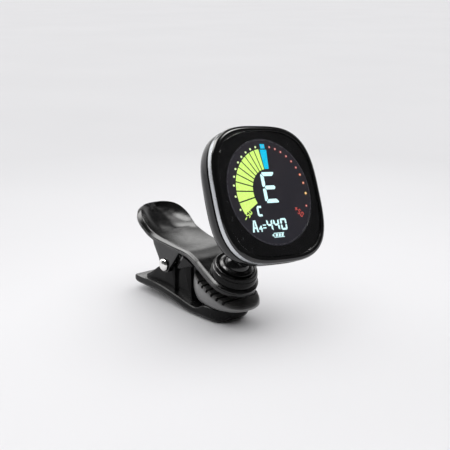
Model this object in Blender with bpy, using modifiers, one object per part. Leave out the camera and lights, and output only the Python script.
"""Clip-on instrument tuner: a squircle display head on a ball joint, carried by a sprung clip.

Frame: metres, +Z up. Origin at the centre of the flat foot under the lower jaw, on the table.
+X runs forward along the clip to the jaw tips, +Y to the clip's left hand, so the pivot pin
lies along Y. Lengths below are in millimetres, scaled once by MM. Angles are in degrees.
"""
import math
from typing import NamedTuple

import bmesh
import bpy
import numpy as np
from mathutils import Matrix, Vector

MM = 0.001

# ---------------------------------------------------------------- driving dimensions
PIVOT_X, PIVOT_Z = -19.4, 14.8       # pin axis
JAW_SLOPE = 25.0                     # forward lean of the upper jaw and socket
BALL_CENTRE = Vector((11.45, 0.0, 20.42))
BALL_R = 4.6

HEAD_AZIMUTH, HEAD_ELEVATION, HEAD_ROLL = 4.1, 25.4, -7.5
HEAD_HALF_W, HEAD_HALF_H = 22.5, 23.2
HEAD_SQUARENESS, HEAD_POINTS = 3.2, 36
FRONT_FROM_BALL = Vector((0.0, 19.7, 25.0))   # middle of the head's front, in head axes
STUD_LEAN = 16.0                     # between the stud and the head's normal

# ---------------------------------------------------------------- scene and materials
for old in list(bpy.data.objects):
    bpy.data.objects.remove(old, do_unlink=True)

parts = bpy.data.collections.new("clip_on_tuner")
cutters = bpy.data.collections.new("cutters")
bpy.context.scene.collection.children.link(parts)
bpy.context.scene.collection.children.link(cutters)


def material(name, colour, roughness, metallic=0.0, alpha=1.0):
    mat = bpy.data.materials.new(name)
    mat.use_nodes = True
    inputs = mat.node_tree.nodes["Principled BSDF"].inputs
    inputs["Base Color"].default_value = (*colour, 1.0)
    inputs["Roughness"].default_value = roughness
    inputs["Metallic"].default_value = metallic
    inputs["Alpha"].default_value = alpha
    mat.diffuse_color = (*colour, alpha)
    return mat


SATIN_BLACK = material("satin_black_plastic", colour=(0.018, 0.018, 0.02), roughness=0.32)
GLOSS_BLACK = material("gloss_black_plastic", colour=(0.010, 0.010, 0.012), roughness=0.12)
LENS = material("smoked_lens", colour=(0.02, 0.02, 0.025), roughness=0.05, alpha=0.6)
SATIN_SILVER = material("satin_silver", colour=(0.62, 0.63, 0.66), roughness=0.28, metallic=1.0)
CHROME = material("chrome", colour=(0.8, 0.8, 0.8), roughness=0.12, metallic=1.0)
STEEL = material("steel", colour=(0.5, 0.5, 0.5), roughness=0.3, metallic=1.0)
BRASS = material("nickel_brass", colour=(0.66, 0.58, 0.4), roughness=0.3, metallic=1.0)
RUBBER = material("grey_rubber", colour=(0.045, 0.045, 0.045), roughness=0.7)
BOARD = material("board_green", colour=(0.02, 0.13, 0.05), roughness=0.45)
WHITE = material("white_plastic", colour=(0.8, 0.8, 0.78), roughness=0.4)
DARK_GLASS = material("display_glass", colour=(0.02, 0.022, 0.03), roughness=0.1)
CERAMIC = material("piezo_ceramic", colour=(0.75, 0.72, 0.62), roughness=0.5)


# ---------------------------------------------------------------- joints and drawing frames
def empty(name, location, rotation=Matrix.Identity(3)):
    joint = bpy.data.objects.new(name, None)
    parts.objects.link(joint)
    joint.empty_display_size = 5 * MM
    joint.matrix_world = Matrix.Translation(Vector(location) * MM) @ rotation.to_4x4()
    return joint


def head_rotation():
    """Axes of the head: X to the right facing the display, Y up it, Z out of its front."""
    azimuth, elevation, roll = map(math.radians, (HEAD_AZIMUTH, HEAD_ELEVATION, HEAD_ROLL))
    normal = Vector((math.cos(elevation) * math.cos(azimuth),
                     math.cos(elevation) * math.sin(azimuth), math.sin(elevation)))
    level = Vector((-math.sin(azimuth), math.cos(azimuth), 0))
    right = level * math.cos(roll) + normal.cross(level) * math.sin(roll)
    return Matrix((right, normal.cross(right), normal)).transposed()


class Frame(NamedTuple):
    """A joint's empty, with the origin (mm) and turn of a piece within it."""
    joint: bpy.types.Object
    origin: tuple = (0, 0, 0)
    turn: tuple = (0, 0, 0)


jaw_lean = math.radians(JAW_SLOPE)
head_turn = head_rotation()
pivot = empty("clip_pivot", (PIVOT_X, 0, PIVOT_Z))
socket = empty("socket_axis", BALL_CENTRE, Matrix.Rotation(jaw_lean, 3, "Y"))
head = empty("head_axis", BALL_CENTRE, head_turn)
stud = empty("stud_axis", BALL_CENTRE,
             head_turn @ Matrix.Rotation(-math.radians(STUD_LEAN), 3, "X"))

CLIP = Frame(pivot, (-PIVOT_X, 0, -PIVOT_Z))           # drawn from the foot's centre
PIN_RIGHT = Frame(pivot, turn=(math.radians(90), 0, 0))    # Z towards the clip's right
PIN_LEFT = Frame(pivot, turn=(math.radians(-90), 0, 0))    # Z towards the clip's left
SOCKET = Frame(socket)
STUD = Frame(stud)
HEAD = Frame(head, FRONT_FROM_BALL)                    # drawn from the middle of the front


def head_at(x, y):
    return Frame(head, FRONT_FROM_BALL + Vector((x, y, 0)))


# ---------------------------------------------------------------- objects and modifiers
def add_object(name, mat, mesh, frame):
    """Hang a bmesh from its joint. A piece with no material is a boolean tool."""
    bmesh.ops.scale(mesh, vec=(MM, MM, MM), verts=mesh.verts[:])
    data = bpy.data.meshes.new(name)
    mesh.to_mesh(data)
    mesh.free()
    ob = bpy.data.objects.new(name, data)
    if mat:
        parts.objects.link(ob)
        data.materials.append(mat)
    else:
        cutters.objects.link(ob)
        ob.hide_render = True
        ob.display_type = "WIRE"
    ob.parent = frame.joint
    ob.location = Vector(frame.origin) * MM
    ob.rotation_euler = frame.turn
    return ob


def add_solid(name, mat, mesh, frame):
    bmesh.ops.recalc_face_normals(mesh, faces=mesh.faces[:])
    ob = add_object(name, mat, mesh, frame)
    ob.data.shade_smooth()
    ob.data.set_sharp_from_angle(angle=math.radians(30))
    return ob


def turned(name, mat, profile, frame, steps=28, closed=False):
    """A turned piece: a profile of (radius, height) points, swept with a Screw."""
    mesh = bmesh.new()
    verts = [mesh.verts.new((radius, 0, z)) for radius, z in profile]
    for start, end in zip(verts[:-1], verts[1:]):
        mesh.edges.new((start, end))
    if closed:
        mesh.edges.new((verts[-1], verts[0]))
    ob = add_object(name, mat, mesh, frame)
    screw = ob.modifiers.new("turn", "SCREW")
    screw.axis = "Z"
    screw.angle = math.tau
    screw.steps = screw.render_steps = steps
    screw.use_merge_vertices = True
    screw.merge_threshold = 0.00001
    screw.use_smooth_shade = True
    return ob


def combine(target, operation, name, mesh, frame):
    modifier = target.modifiers.new(operation.lower(), "BOOLEAN")
    modifier.operation = operation
    modifier.solver = "EXACT"
    modifier.object = add_solid(name, None, mesh, frame)


def join(target, name, mesh, frame):
    combine(target, "UNION", name, mesh, frame)


def cut(target, name, mesh, frame):
    combine(target, "DIFFERENCE", name, mesh, frame)


# ---------------------------------------------------------------- shapes
def loft(rings, loop=False):
    """Skin between rings of equal point count; loop joins the last ring to the first."""
    mesh = bmesh.new()
    rows = [[mesh.verts.new(point) for point in ring] for ring in rings]
    count = len(rows[0])
    pairs = list(zip(rows[:-1], rows[1:]))
    if loop:
        pairs.append((rows[-1], rows[0]))
    for low, high in pairs:
        for i in range(count):
            j = (i + 1) % count
            mesh.faces.new((low[i], low[j], high[j], high[i]))
    if not loop:
        mesh.faces.new(rows[0])
        mesh.faces.new(rows[-1][::-1])
    return mesh


def box(size, centre=(0, 0, 0), bevel=0.0):
    mesh = bmesh.new()
    bmesh.ops.create_cube(mesh, size=1.0)
    bmesh.ops.scale(mesh, vec=size, verts=mesh.verts[:])
    if bevel:
        bmesh.ops.bevel(mesh, geom=mesh.edges[:], offset=bevel, segments=1, affect="EDGES")
    bmesh.ops.translate(mesh, vec=centre, verts=mesh.verts[:])
    return mesh


def cylinder(radius, bottom, top, segments, centre=(0, 0), top_radius=None):
    mesh = bmesh.new()
    bmesh.ops.create_cone(mesh, cap_ends=True, segments=segments, radius1=radius,
                          radius2=top_radius or radius, depth=top - bottom)
    bmesh.ops.translate(mesh, vec=(*centre, (bottom + top) / 2), verts=mesh.verts[:])
    return mesh


def plate(outline, y_start, y_end):
    """A flat piece: an outline in X and Z, extruded across Y."""
    return loft([[(x, y, z) for x, z in outline] for y in (y_start, y_end)])


def pivot_arc(first, last, count):
    """Points of the round eye about the pin, between two angles."""
    angles = [math.radians(first + (last - first) * i / (count - 1)) for i in range(count)]
    return [(PIVOT_X + EYE_R * math.cos(a), PIVOT_Z + EYE_R * math.sin(a)) for a in angles]


def squircle(half_x, half_y, squareness, count, middle=(0.0, 0.0)):
    points = []
    for i in range(count):
        angle = math.tau * (i + 0.5) / count
        c, s = math.cos(angle), math.sin(angle)
        reach = (abs(c) ** squareness + abs(s) ** squareness) ** (-1.0 / squareness)
        points.append((middle[0] + half_x * reach * c, middle[1] + half_y * reach * s))
    return points


def squircle_stack(rows, squareness, count, middle=(0.0, 0.0), loop=False):
    """Loft squircles given as (half X, half Y, height)."""
    return loft([[(x, y, z) for x, y in squircle(half_x, half_y, squareness, count, middle)]
                 for half_x, half_y, z in rows], loop)


def smooth_line(xs, table, column):
    """Monotone cubic interpolation of one column of a station table."""
    stations = np.array([row[0] for row in table], float)
    values = np.array([row[column] for row in table], float)
    gap = np.diff(stations)
    slope = np.diff(values) / gap
    tangent = np.zeros_like(values)
    tangent[0], tangent[-1] = slope[0], slope[-1]
    for i in range(1, len(values) - 1):
        if slope[i - 1] * slope[i] > 0:
            tangent[i] = 3 * (gap[i - 1] + gap[i]) / (
                (2 * gap[i] + gap[i - 1]) / slope[i - 1]
                + (gap[i] + 2 * gap[i - 1]) / slope[i])
    line = []
    for x in xs:
        i = int(np.clip(np.searchsorted(stations, x) - 1, 0, len(gap) - 1))
        t = (x - stations[i]) / gap[i]
        line.append((2 * t**3 - 3 * t**2 + 1) * values[i]
                    + (t**3 - 2 * t**2 + t) * gap[i] * tangent[i]
                    + (3 * t**2 - 2 * t**3) * values[i + 1]
                    + (t**3 - t**2) * gap[i] * tangent[i + 1])
    return line


# ================================================================ UPPER LEVER
EYE_R = 2.95                         # round end of ears and cheeks about the pin
REAR_CENTRE_X, REAR_R = -30.3, 10.95     # round end of the thumb rest
FRONT_CENTRE_X, FRONT_R = 9.72, 9.2      # front disc, along the edge line
# Stations along the edge line: X, Z, half width, thickness, dish depth, rim rise
LEVER = [
    (-41.3, 32.3, 0.0, 2.0, 1.0, 0.6),
    (-39.0, 32.1, 7.3, 2.0, 1.3, 0.7),
    (-37.0, 31.7, 8.7, 2.0, 1.6, 0.7),
    (-35.0, 30.9, 9.6, 2.0, 1.8, 0.7),
    (-33.0, 29.7, 10.4, 2.0, 1.9, 0.7),
    (-31.0, 28.4, 10.8, 1.9, 1.9, 0.7),
    (-29.0, 27.0, 10.8, 1.8, 1.8, 0.7),
    (-27.0, 25.8, 10.55, 1.8, 1.6, 0.7),
    (-25.0, 25.0, 10.35, 1.7, 1.4, 0.7),
    (-23.0, 24.5, 10.2, 1.7, 1.2, 0.7),
    (-20.0, 24.0, 9.9, 1.6, 1.0, 0.7),
    (-17.0, 23.6, 9.5, 1.6, 0.8, 0.7),
    (-13.0, 23.2, 9.2, 1.6, 0.6, 0.7),
    (-9.0, 22.95, 8.95, 1.6, 0.4, 0.7),
    (-6.0, 22.7, 8.85, 1.6, 0.25, 0.65),
    (-3.0, 22.0, 8.85, 1.8, 0.15, 0.6),
    (0.0, 21.1, 8.95, 2.1, 0.05, 0.5),
    (2.5, 20.0, 9.05, 2.2, 0.0, 0.4),
    (5.0, 18.82, 9.15, 2.2, 0.0, 0.4),
    (9.72, 16.71, 9.2, 2.2, 0.0, 0.4),
    (18.06, 12.82, 0.0, 2.2, 0.0, 0.4),
]
# Where rings are cut: angles round the two ends, and X between them
REAR_ANGLES = (7, 18, 30, 42, 54, 66, 78, 90)
MIDDLE_XS = [-27.5, -25.0, -22.0, -19.0, -15.5, -12.0, -8.5, -5.5, -3.0, -0.5, 2.0, 4.5, 7.0,
             FRONT_CENTRE_X]
FRONT_ANGLES = (16, 32, 46, 58, 69, 79, 85)
UNDER_POINTS, TOP_POINTS = 5, 7      # points across each side of a ring
TANGENT_REACH = 0.2                  # half the X span used to find the edge line's slope
RIM_INSET, RIM_INSET_SHARE = 0.9, 0.35   # rim width, and its limit as a share of half width
DISH_FADE_W, RIM_FADE_W = 5.0, 2.0   # half widths below which dish and rim fade out

# Ear outline: X, Z
EAR = ([(-27.6, 24.6), (-26.3, 21.0), (-23.2, 16.6)]
       + pivot_arc(195, 345, 9)
       + [(-14.95, 15.8), (-10.4, 21.4), (-9.7, 22.3), (-16.0, 22.9), (-21.0, 23.3)])
EAR_IN, EAR_OUT = 7.5, 8.9           # Y of an ear's faces
# Round tools here and below: radius, bottom, top, segments
SOCKET_BOSS = (6.0, -5.0, -1.9, 28)
SOCKET_BORE = (4.9, -5.8, 0.5, 24)
EAR_BORE = (1.85, -12, 12, 24)


def lever_ring(x, z, half_w, thickness, dish, rim):
    """One section of the upper lever, square to its edge line."""
    behind, ahead = smooth_line([x - TANGENT_REACH, x + TANGENT_REACH], LEVER, 1)
    along = Vector((2 * TANGENT_REACH, 0, ahead - behind)).normalized()
    normal = Vector((-along.z, 0, along.x))
    edge = Vector((x, 0, z))
    inset = min(RIM_INSET, RIM_INSET_SHARE * half_w)
    dish *= min(1.0, half_w / DISH_FADE_W)
    rim *= min(1.0, half_w / RIM_FADE_W)
    ring = []
    for i in range(UNDER_POINTS):
        s = -1 + 2 * i / (UNDER_POINTS - 1)
        ring.append(edge + Vector((0, s * half_w, 0))
                    + normal * (-thickness - dish * (1 - s * s)))
    ring.append(edge + Vector((0, half_w, 0)))
    for i in range(TOP_POINTS):
        s = 1 - 2 * i / (TOP_POINTS - 1)
        ring.append(edge + Vector((0, s * (half_w - inset), 0))
                    + normal * (rim - dish * (1 - s * s)))
    ring.append(edge + Vector((0, -half_w, 0)))
    return ring


def lever_body():
    rear = [math.radians(a) for a in REAR_ANGLES]
    front = [math.radians(a) for a in FRONT_ANGLES]
    xs = ([REAR_CENTRE_X - REAR_R * math.cos(a) for a in rear] + MIDDLE_XS
          + [FRONT_CENTRE_X + FRONT_R * math.cos(jaw_lean) * math.sin(a) for a in front])
    half_ws = ([REAR_R * math.sin(a) for a in rear] + smooth_line(MIDDLE_XS, LEVER, 2)
               + [FRONT_R * math.cos(a) for a in front])
    zs, thicknesses, dishes, rims = (smooth_line(xs, LEVER, k) for k in (1, 3, 4, 5))
    return loft([lever_ring(*row) for row in zip(xs, zs, half_ws, thicknesses, dishes, rims)])


upper = add_solid("upper_lever", SATIN_BLACK, lever_body(), CLIP)
for side, y_start, y_end in (("right", -EAR_OUT, -EAR_IN), ("left", EAR_IN, EAR_OUT)):
    join(upper, "ear_" + side, plate(EAR, y_start, y_end), CLIP)
join(upper, "socket_boss", cylinder(*SOCKET_BOSS), SOCKET)
cut(upper, "socket_bore", cylinder(*SOCKET_BORE), SOCKET)
cut(upper, "ear_bore", cylinder(*EAR_BORE), PIN_RIGHT)

# ================================================================ LOWER LEVER
# Floor plate stations: X, top Z, bottom Z, half width
FLOOR = [
    (-41.5, 5.0, 3.4, 6.6), (-40.6, 5.3, 3.1, 8.3), (-38.5, 5.5, 2.8, 9.1),
    (-34.0, 5.7, 2.7, 9.3), (-30.0, 6.1, 2.6, 9.35), (-26.0, 6.3, 2.5, 9.35),
    (-21.0, 6.1, 2.2, 9.35), (-16.0, 5.6, 1.6, 9.3), (-11.0, 4.9, 0.8, 9.2),
    (-8.0, 4.3, 0.25, 9.05), (-5.0, 3.8, 0.0, 8.9), (-2.0, 3.5, 0.0, 8.75),
    (0.0, 3.9, 0.0, 8.6), (2.0, 5.0, 0.0, 8.5), (4.0, 5.6, 0.0, 8.3),
    (8.0, 5.7, 0.0, 7.6), (10.0, 5.7, 0.6, 6.8), (11.6, 5.7, 1.4, 5.7),
    (12.8, 5.7, 2.5, 4.0),
]
TOP_CHAMFER = 0.35
FOOT_INSET = 1.0                     # bottom chamfer, across
FOOT_RISE, FOOT_RISE_SHARE = 0.8, 0.4    # its height, and the limit as a share of thickness

# Side pieces: outlines in X, Z, then Y of the inner and outer faces
CHEEK = ([(-34.4, 4.9), (-33.9, 7.0), (-30.4, 8.9), (-27.6, 10.9), (-25.5, 12.3)]
         + pivot_arc(165, 20, 8)
         + [(-15.3, 14.6), (-15.3, 4.6), (-21.0, 4.9), (-28.0, 5.2)])
INNER_WALL = [(-20.5, 4.0), (-20.5, 11.5), (-16.0, 13.0), (-14.0, 15.0), (-9.5, 19.6),
              (-7.0, 20.0), (-3.2, 18.9), (-4.4, 17.9), (-6.5, 16.4), (-6.5, 5.6),
              (-5.0, 2.0), (-12.0, 2.0)]
SHOULDER = [(-14.0, 15.6), (-9.6, 20.8), (-8.6, 20.7), (-6.0, 20.3), (-2.6, 19.1),
            (-2.4, 18.6), (-7.4, 16.6), (-10.8, 15.3), (-13.4, 15.1)]
SIDE_PIECES = (("cheek", CHEEK, 5.8, 7.2), ("inner_wall", INNER_WALL, 4.9, 6.25),
               ("shoulder", SHOULDER, 5.5, 8.6))
WEB_SIZE, WEB_CENTRE = (1.2, 11.0, 9.0), (-8.6, 0, 8.0)
CHEEK_BORE = (1.85, -7.35, 7.35, 24)

# Lower pad, which the pocket below is fitted to
PAD_X, PAD_HALF_L, PAD_HALF_W = 6.1, 12.9, 9.4
PAD_SQUARENESS = 2.5
CORE_SCALE, CORE_SHIFT = 0.5, -1.6   # pad's narrow core: share of its outline, X offset
CORE_CLEARANCE = 0.35
POCKET_BOTTOM, POCKET_TOP, POCKET_POINTS = 2.6, 9.0, 24


def floor_body():
    rings = []
    for x, top, bottom, half_w in FLOOR:
        foot = half_w - FOOT_INSET
        deck = half_w - TOP_CHAMFER
        low = bottom + min(FOOT_RISE, FOOT_RISE_SHARE * (top - bottom))
        high = top - TOP_CHAMFER
        rings.append([(x, -foot, bottom), (x, foot, bottom), (x, half_w, low),
                      (x, half_w, high), (x, deck, top), (x, -deck, top),
                      (x, -half_w, high), (x, -half_w, low)])
    return loft(rings)


def pocket_body():
    half_x = PAD_HALF_L * CORE_SCALE + CORE_CLEARANCE
    half_y = PAD_HALF_W * CORE_SCALE + CORE_CLEARANCE
    rows = [(half_x, half_y, z) for z in (POCKET_BOTTOM, POCKET_TOP)]
    return squircle_stack(rows, PAD_SQUARENESS, POCKET_POINTS, (PAD_X + CORE_SHIFT, 0.0))


lower = add_solid("lower_lever", SATIN_BLACK, floor_body(), CLIP)
for side, sign in (("right", -1), ("left", 1)):
    for label, outline, y_in, y_out in SIDE_PIECES:
        join(lower, label + "_" + side, plate(outline, sign * y_in, sign * y_out), CLIP)
# cross wall behind the pad, and the pocket its core sits in
join(lower, "cross_web", box(WEB_SIZE, WEB_CENTRE), CLIP)
cut(lower, "pad_pocket", pocket_body(), CLIP)
cut(lower, "cheek_bore", cylinder(*CHEEK_BORE), PIN_RIGHT)

# ================================================================ PIN AND SPRING
PIN_R = 1.6
PIN_SEAT = 9.2                       # underside of the pin's head, from the middle
DOME_BASE = 9.7
DOME = [(0.0, 0.8), (0.9, 0.72), (1.7, 0.45), (2.2, 0.1), (2.4, -0.3)]   # radius, above base
PIN_TAIL = [(2.3, PIN_SEAT), (PIN_R, PIN_SEAT), (PIN_R, -PIN_SEAT), (1.3, -9.5), (0.0, -9.5)]
PIN_CAP = [(0.0, 10.6), (1.1, 10.5), (2.0, 10.1), (2.4, 9.5), (2.4, 9.15), (1.85, 9.15),
           (1.85, 9.75), (0.0, 9.75)]

WIRE_R, COIL_R, COIL_TURNS, COIL_PITCH = 0.5, 2.9, 6, 1.25
COIL_START = 61.0                    # angle about the pin where the coil begins
COIL_SWEEP = COIL_TURNS * 360 - 123.0
COIL_STEPS = COIL_TURNS * 10 + 2
# X and Z of the leg ends from the pin, and how far outside the coil they lie in Y
UPPER_LEG, LOWER_LEG, LEG_OFFSET = (-14.2, 9.35), (-14.0, -7.4), 0.1


def spring_points():
    """Centre line of the wire: upper leg's end, the coil, lower leg's end."""
    half = COIL_TURNS * COIL_PITCH / 2
    points = [(UPPER_LEG[0], -half - LEG_OFFSET, UPPER_LEG[1])]
    for i in range(COIL_STEPS + 1):
        share = i / COIL_STEPS
        angle = math.radians(COIL_START - share * COIL_SWEEP)
        points.append((COIL_R * math.cos(angle), -half + 2 * half * share,
                       COIL_R * math.sin(angle)))
    points.append((LOWER_LEG[0], half + LEG_OFFSET, LOWER_LEG[1]))
    return points


def make_spring():
    curve = bpy.data.curves.new("torsion_spring", "CURVE")
    curve.dimensions = "3D"
    curve.bevel_depth = WIRE_R * MM
    curve.bevel_resolution = 1
    curve.use_fill_caps = True
    points = spring_points()
    spline = curve.splines.new("POLY")
    spline.points.add(len(points) - 1)
    for knot, (x, y, z) in zip(spline.points, points):
        knot.co = (x * MM, y * MM, z * MM, 1)
    curve.materials.append(STEEL)
    spring = bpy.data.objects.new("torsion_spring", curve)
    parts.objects.link(spring)
    spring.parent = pivot


# domed head at the clip's right, push-on cap at its left
turned("pivot_pin", CHROME, [(radius, DOME_BASE + z) for radius, z in DOME] + PIN_TAIL,
       PIN_RIGHT, steps=24)
turned("pin_cap", CHROME, PIN_CAP, PIN_LEFT, steps=24)
make_spring()

# ================================================================ JAW PADS
PAD_SLOPE = math.radians(18.0)       # slope of the lower pad's gripping face
PAD_TOP = 12.5                       # height of that face at PAD_X
# Lower pad rings: scale, height at PAD_X, share of the slope, X offset
LOWER_PAD = [
    (CORE_SCALE, 3.0, 0.0, CORE_SHIFT), (CORE_SCALE, 5.9, 0.0, CORE_SHIFT),
    (0.86, 6.05, 0.03, -0.3), (0.96, 7.2, 0.25, 0.0), (1.0, 9.2, 0.55, 0.0),
    (0.985, 11.2, 0.85, 0.0), (0.94, PAD_TOP, 1.0, 0.0),
]
LOWER_GROOVE_XS = [1.4 + 2.6 * i for i in range(6)]
LOWER_GROOVE = (1.0, 30, 2.0)        # size of a groove's cutter

# Upper pad, under the front disc: half sizes, X offset, rings of (scale, height)
UPPER_HALF_L, UPPER_HALF_W, UPPER_X = 8.6, 7.9, -1.1
UPPER_PAD = [(1.0, -6.55), (1.0, -7.15), (0.95, -7.4)]
UPPER_GROOVE_XS = [-3.4 + 2.2 * i for i in range(5)]
UPPER_GROOVE, UPPER_GROOVE_Z = (0.9, 30, 1.0), -7.5


def lower_pad_body():
    rings = []
    for scale, z, share, shift in LOWER_PAD:
        outline = squircle(PAD_HALF_L * scale, PAD_HALF_W * scale, PAD_SQUARENESS, 32,
                           (PAD_X + shift, 0.0))
        rings.append([(x, y, z - share * math.tan(PAD_SLOPE) * (x - PAD_X))
                      for x, y in outline])
    return loft(rings)


def groove_bars(size, centres, slope=0.0):
    """Bars across the pad, each turned about Y by the slope."""
    mesh = bmesh.new()
    for centre in centres:
        place = (Matrix.Translation(centre) @ Matrix.Rotation(slope, 4, "Y")
                 @ Matrix.Diagonal((*size, 1.0)))
        bmesh.ops.create_cube(mesh, size=1.0, matrix=place)
    return mesh


pad = add_solid("lower_jaw_pad", RUBBER, lower_pad_body(), CLIP)
centres = [(x, 0, PAD_TOP - math.tan(PAD_SLOPE) * (x - PAD_X)) for x in LOWER_GROOVE_XS]
cut(pad, "lower_pad_grooves", groove_bars(LOWER_GROOVE, centres, PAD_SLOPE), CLIP)

rows = [(UPPER_HALF_L * scale, UPPER_HALF_W * scale, z) for scale, z in UPPER_PAD]
pad = add_solid("upper_jaw_pad", RUBBER,
                squircle_stack(rows, PAD_SQUARENESS, 24, (UPPER_X, 0.0)), SOCKET)
centres = [(x, 0, UPPER_GROOVE_Z) for x in UPPER_GROOVE_XS]
cut(pad, "upper_pad_grooves", groove_bars(UPPER_GROOVE, centres), SOCKET)

# ================================================================ BALL JOINT
# Profiles: radius, height from the ball's centre
COLLAR = [(7.1, 0.4), (7.4, 0.4), (7.7, 0.05), (8.05, -1.0), (8.3, -2.3), (8.3, -3.3),
          (8.1, -3.5), (6.35, -3.5), (6.35, -2.15), (6.95, -2.15), (6.95, -0.5),
          (6.35, -0.5), (6.35, 0.0), (7.1, 0.0)]
GRIP_RING = [(4.5, 1.5), (5.2, 1.35), (5.85, 0.98), (6.05, 0.7), (6.05, -0.8), (6.65, -0.8),
             (6.65, -1.6), (4.62, -1.6), (4.9, -0.2), (4.85, 0.8), (4.64, 1.2)]
PRESSURE_PAD = [(0, -4.9), (3.6, -4.9), (3.6, -5.5), (0, -5.5)]
STUD_SHANK = [(0, 12.0), (1.1, 12.0), (1.1, 15.8), (1.9, 15.8), (1.9, 9.8), (3.4, 9.8),
              (3.4, 8.7), (2.8, 8.3), (2.3, 7.6), (2.2, 4.6)]
BALL_ANGLES = (33, 50, 68, 86, 104, 122, 140, 160)   # from the stud's axis
WASHER = [(1.15, 16.4), (3.4, 16.4), (3.4, 15.92), (1.15, 15.92)]
STUD_SCREW = [(0, 17.7), (1.5, 17.7), (2.0, 17.3), (2.0, 16.6), (0.85, 16.6), (0.85, 12.4),
              (0, 12.4)]
STUD_SLOT_SIZE, STUD_SLOT_CENTRE = (4.6, 0.5, 1.0), (0, 0, 17.8)

turned("socket_collar", SATIN_BLACK, COLLAR, SOCKET, closed=True)
turned("ball_grip_ring", SATIN_BLACK, GRIP_RING, SOCKET, closed=True)
turned("ball_pressure_pad", RUBBER, PRESSURE_PAD, SOCKET, steps=24)
ball = [(BALL_R * math.sin(math.radians(a)), BALL_R * math.cos(math.radians(a)))
        for a in BALL_ANGLES]
turned("ball_stud", SATIN_BLACK, STUD_SHANK + ball + [(0, -BALL_R)], STUD, steps=24)
turned("stud_washer", STEEL, WASHER, STUD, steps=24, closed=True)
screw = turned("stud_screw", STEEL, STUD_SCREW, STUD, steps=20)
cut(screw, "stud_screw_slot", box(STUD_SLOT_SIZE, STUD_SLOT_CENTRE), STUD)

# ================================================================ HEAD CASE
# Depths run back from the head's front. Case rings: inset from the outline, depth
BEZEL = [(2.0, 0.0), (1.1, 0.0), (0.45, -0.2), (0.1, -0.55), (0.0, -1.1), (1.8, -1.1),
         (1.8, -4.4), (3.0, -4.4), (3.0, -2.4), (3.8, -2.4), (3.8, -1.6), (2.0, -1.6)]
LENS_RINGS = [(2.25, -0.12), (2.25, -1.35)]
TRIM = [(0.35, -1.35), (0.25, -1.6), (0.25, -3.1), (0.35, -3.35), (1.5, -3.35), (1.5, -1.35)]
COVER = [(0.1, -3.6), (0.25, -6.0), (0.75, -7.7), (1.8, -9.4), (3.4, -10.7), (5.6, -11.4),
         (8.0, -11.5)]
HOLLOW = [(1.45, -3.0), (1.45, -4.5), (1.65, -6.0), (2.15, -7.4), (3.2, -8.8), (4.6, -9.8),
          (6.0, -10.2)]
BEHIND = -13.0                       # cutters start here, clear of the cover's back

STUD_BOSS, STUD_BOSS_TOP_R = (5.2, 10.1, 15.6, 28), 5.4
STUD_BORE = (2.2, 9.0, 20.0, 24)
WASHER_SEAT = (4.0, 15.6, 20.0, 24)

CELL_Y = 0.5                         # height of the coin cell's centre
DOOR_RECESS = (11.2, BEHIND, -10.6, 28)
DOOR_HOLE = (10.6, BEHIND, -9.0, 28)

CASE_SCREWS = ((-12.4, 10.6), (12.4, 10.6), (-11.3, -10.2), (11.3, -10.2))
SCREW_BOSS = (2.5, -10.7, -8.9, 20)
COUNTERBORE = (1.9, BEHIND, -10.3, 20)
CLEARANCE = (1.05, BEHIND, -8.0, 16)
SCREW = [(0, -7.0), (0.6, -7.0), (0.8, -7.3), (0.8, -10.5), (1.55, -10.5), (1.55, -11.0),
         (1.2, -11.25), (0, -11.25)]
SCREW_SLOT, SCREW_SLOT_Z = (0.45, 2.2, 0.8), -11.3

BUTTON_PITCH, BUTTON_Y = 8.7, 14.9
BUTTONS = (("power", -BUTTON_PITCH), ("mode", 0.0), ("pitch", BUTTON_PITCH))
BUTTON_SQUARENESS, BUTTON_POINTS = 3.0, 16
# Half width, half height, depth
BUTTON_HOLE = [(3.5, 1.8, BEHIND), (3.5, 1.8, -8.6)]
# cap, then retaining flange, then stem
BUTTON = [(2.85, 1.15, -12.05), (3.2, 1.5, -11.85), (3.2, 1.5, -9.95), (3.8, 2.1, -9.9),
          (3.8, 2.1, -9.4), (1.0, 1.0, -9.35), (1.0, 1.0, -8.8)]
SWITCH_SIZE, SWITCH_Z = (4.4, 3.4, 1.6), -7.3


def case_shape(rows, loop=False):
    return squircle_stack([(HEAD_HALF_W - inset, HEAD_HALF_H - inset, z) for inset, z in rows],
                          HEAD_SQUARENESS, HEAD_POINTS, loop=loop)


def button_shape(rows, x):
    return squircle_stack(rows, BUTTON_SQUARENESS, BUTTON_POINTS, (x, BUTTON_Y))


def head_box(name, mat, size, centre, bevel=0.0):
    add_solid(name, mat, box(size, centre, bevel), HEAD)


def make_cover():
    """Tapered shell, open at the front, with its bosses and openings."""
    cover = add_solid("rear_cover", GLOSS_BLACK, case_shape(COVER), HEAD)
    cut(cover, "cover_hollow", case_shape(HOLLOW), HEAD)
    join(cover, "stud_boss", cylinder(*STUD_BOSS, top_radius=STUD_BOSS_TOP_R), STUD)
    for k, place in enumerate(CASE_SCREWS, 1):
        join(cover, f"screw_boss_{k}", cylinder(*SCREW_BOSS, place), HEAD)
    cut(cover, "stud_bore", cylinder(*STUD_BORE), STUD)
    cut(cover, "washer_seat", cylinder(*WASHER_SEAT), STUD)
    cut(cover, "door_recess", cylinder(*DOOR_RECESS, (0, CELL_Y)), HEAD)
    cut(cover, "door_hole", cylinder(*DOOR_HOLE, (0, CELL_Y)), HEAD)
    for k, place in enumerate(CASE_SCREWS, 1):
        cut(cover, f"screw_counterbore_{k}", cylinder(*COUNTERBORE, place), HEAD)
        cut(cover, f"screw_clearance_{k}", cylinder(*CLEARANCE, place), HEAD)
    for name, x in BUTTONS:
        cut(cover, name + "_button_hole", button_shape(BUTTON_HOLE, x), HEAD)


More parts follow.
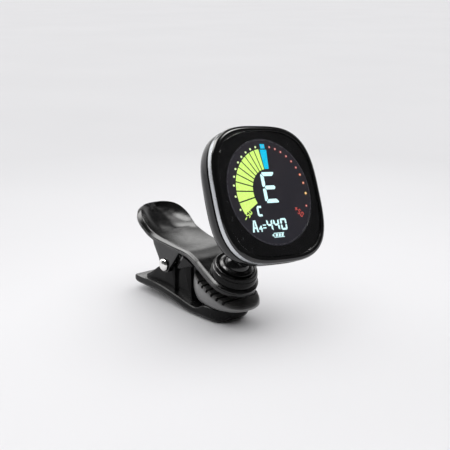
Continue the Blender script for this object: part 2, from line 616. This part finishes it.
# bezel with a ledge for the lens and a lip that enters the rear cover
add_solid("front_bezel", GLOSS_BLACK, case_shape(BEZEL, loop=True), HEAD)
add_solid("display_lens", LENS, case_shape(LENS_RINGS), HEAD)
add_solid("trim_band", SATIN_SILVER, case_shape(TRIM, loop=True), HEAD)
make_cover()
for name, x in BUTTONS:
    add_solid(name + "_button", SATIN_BLACK, button_shape(BUTTON, x), HEAD)
    head_box(name + "_switch", STEEL, SWITCH_SIZE, (x, BUTTON_Y, SWITCH_Z))
for k, (x, y) in enumerate(CASE_SCREWS, 1):
    screw = turned(f"case_screw_{k}", STEEL, SCREW, head_at(x, y), steps=12)
    cut(screw, f"case_screw_slot_{k}", box(SCREW_SLOT, (x, y, SCREW_SLOT_Z)), HEAD)

# ================================================================ BATTERY
# Profiles: radius, depth
DOOR = [(0, -10.36), (10.25, -10.36), (10.25, -10.8), (10.9, -10.8), (10.9, -11.3),
        (10.7, -11.5), (0, -11.5)]
COIN_SLOT_SIZE, COIN_SLOT_CENTRE = (13.0, 1.7, 1.2), (0, CELL_Y, -11.6)
CELL = [(0, -6.75), (8.6, -6.75), (8.9, -7.0), (9.8, -7.15), (10.0, -7.4), (10.0, -9.7),
        (9.75, -9.95), (0, -9.95)]
CRADLE = [(10.25, -6.65), (11.1, -6.65), (11.1, -9.9), (10.25, -9.9)]
NOTCH_SIZE, NOTCH_CENTRE = (5.0, 6.0, 3.2), (10.6, CELL_Y, -8.6)
NEGATIVE_SIZE, NEGATIVE_CENTRE = (3.0, 13.0, 0.2), (0, CELL_Y, -6.52)
# Positive contact, bent round the cell's edge: X, depth
POSITIVE = [(11.45, -6.5), (11.45, -10.15), (8.3, -10.15), (8.3, -10.0), (11.25, -10.0),
            (11.25, -6.5)]
POSITIVE_HALF_W = 2.0
AT_CELL = head_at(0, CELL_Y)

door = turned("battery_door", SATIN_BLACK, DOOR, AT_CELL)
cut(door, "coin_slot", box(COIN_SLOT_SIZE, COIN_SLOT_CENTRE), HEAD)
turned("coin_cell", CHROME, CELL, AT_CELL)
cradle = turned("battery_cradle", SATIN_BLACK, CRADLE, AT_CELL, closed=True)
cut(cradle, "cradle_notch", box(NOTCH_SIZE, NOTCH_CENTRE), HEAD)
head_box("contact_negative", BRASS, NEGATIVE_SIZE, NEGATIVE_CENTRE)
add_solid("contact_positive", BRASS, plate(POSITIVE, -POSITIVE_HALF_W, POSITIVE_HALF_W), AT_CELL)

# ================================================================ DISPLAY AND BOARD
FRAME = [(0, -4.95), (18.25, -4.95), (18.25, -2.75), (19.0, -2.75), (19.0, -5.45), (0, -5.45)]
FRAME_POST = (1.5, -8.6, -5.1, 18)
POST_BORE = (1.05, -9.0, -6.2, 16)
BOARD_HOLE = (1.8, -7.0, -5.0, 18)
STRIP_Y = -16.9                      # connector strip under the display
STRIP_SLOT_SIZE, STRIP_SLOT_CENTRE = (11.0, 1.8, 1.6), (0, STRIP_Y, -5.2)
LED_X = 16.75
PIEZO_PLACE = (-13.8, -4.0)
# Boxes: name, material, size, centre, bevel
BOXES = (
    ("backlight_led_left", WHITE, (0.9, 3.0, 0.7), (-LED_X, 0, -4.35), 0.0),
    ("backlight_led_right", WHITE, (0.9, 3.0, 0.7), (LED_X, 0, -4.35), 0.0),
    ("display_connector_strip", RUBBER, (10.0, 1.1, 1.7), (0, STRIP_Y, -4.78), 0.0),
    ("tuner_chip", SATIN_BLACK, (5.0, 5.0, 0.9), (15.0, -2.0, -6.9), 0.1),
    ("timing_crystal", STEEL, (3.2, 1.6, 0.8), (14.6, 3.2, -6.85), 0.1),
)


def disc(name, mat, radius, front, back, frame, steps):
    profile = [(0, front), (radius, front), (radius, back), (0, back)]
    return turned(name, mat, profile, frame, steps)


disc("display_panel", DARK_GLASS, radius=18.0, front=-2.7, back=-3.7, frame=HEAD, steps=32)
disc("light_guide", WHITE, radius=16.0, front=-3.95, back=-4.7, frame=HEAD, steps=24)
tray = turned("display_frame", WHITE, FRAME, HEAD)
board = disc("main_board", BOARD, radius=18.3, front=-5.72, back=-6.32, frame=HEAD, steps=24)
for k, place in enumerate(CASE_SCREWS, 1):
    join(tray, f"frame_post_{k}", cylinder(*FRAME_POST, place), HEAD)
    cut(tray, f"post_bore_{k}", cylinder(*POST_BORE, place), HEAD)
    cut(board, f"board_hole_{k}", cylinder(*BOARD_HOLE, place), HEAD)
cut(tray, "strip_slot", box(STRIP_SLOT_SIZE, STRIP_SLOT_CENTRE), HEAD)
disc("piezo_pickup", CERAMIC, radius=2.9, front=-9.75, back=-10.05,
     frame=head_at(*PIEZO_PLACE), steps=16)
for entry in BOXES:
    head_box(*entry)
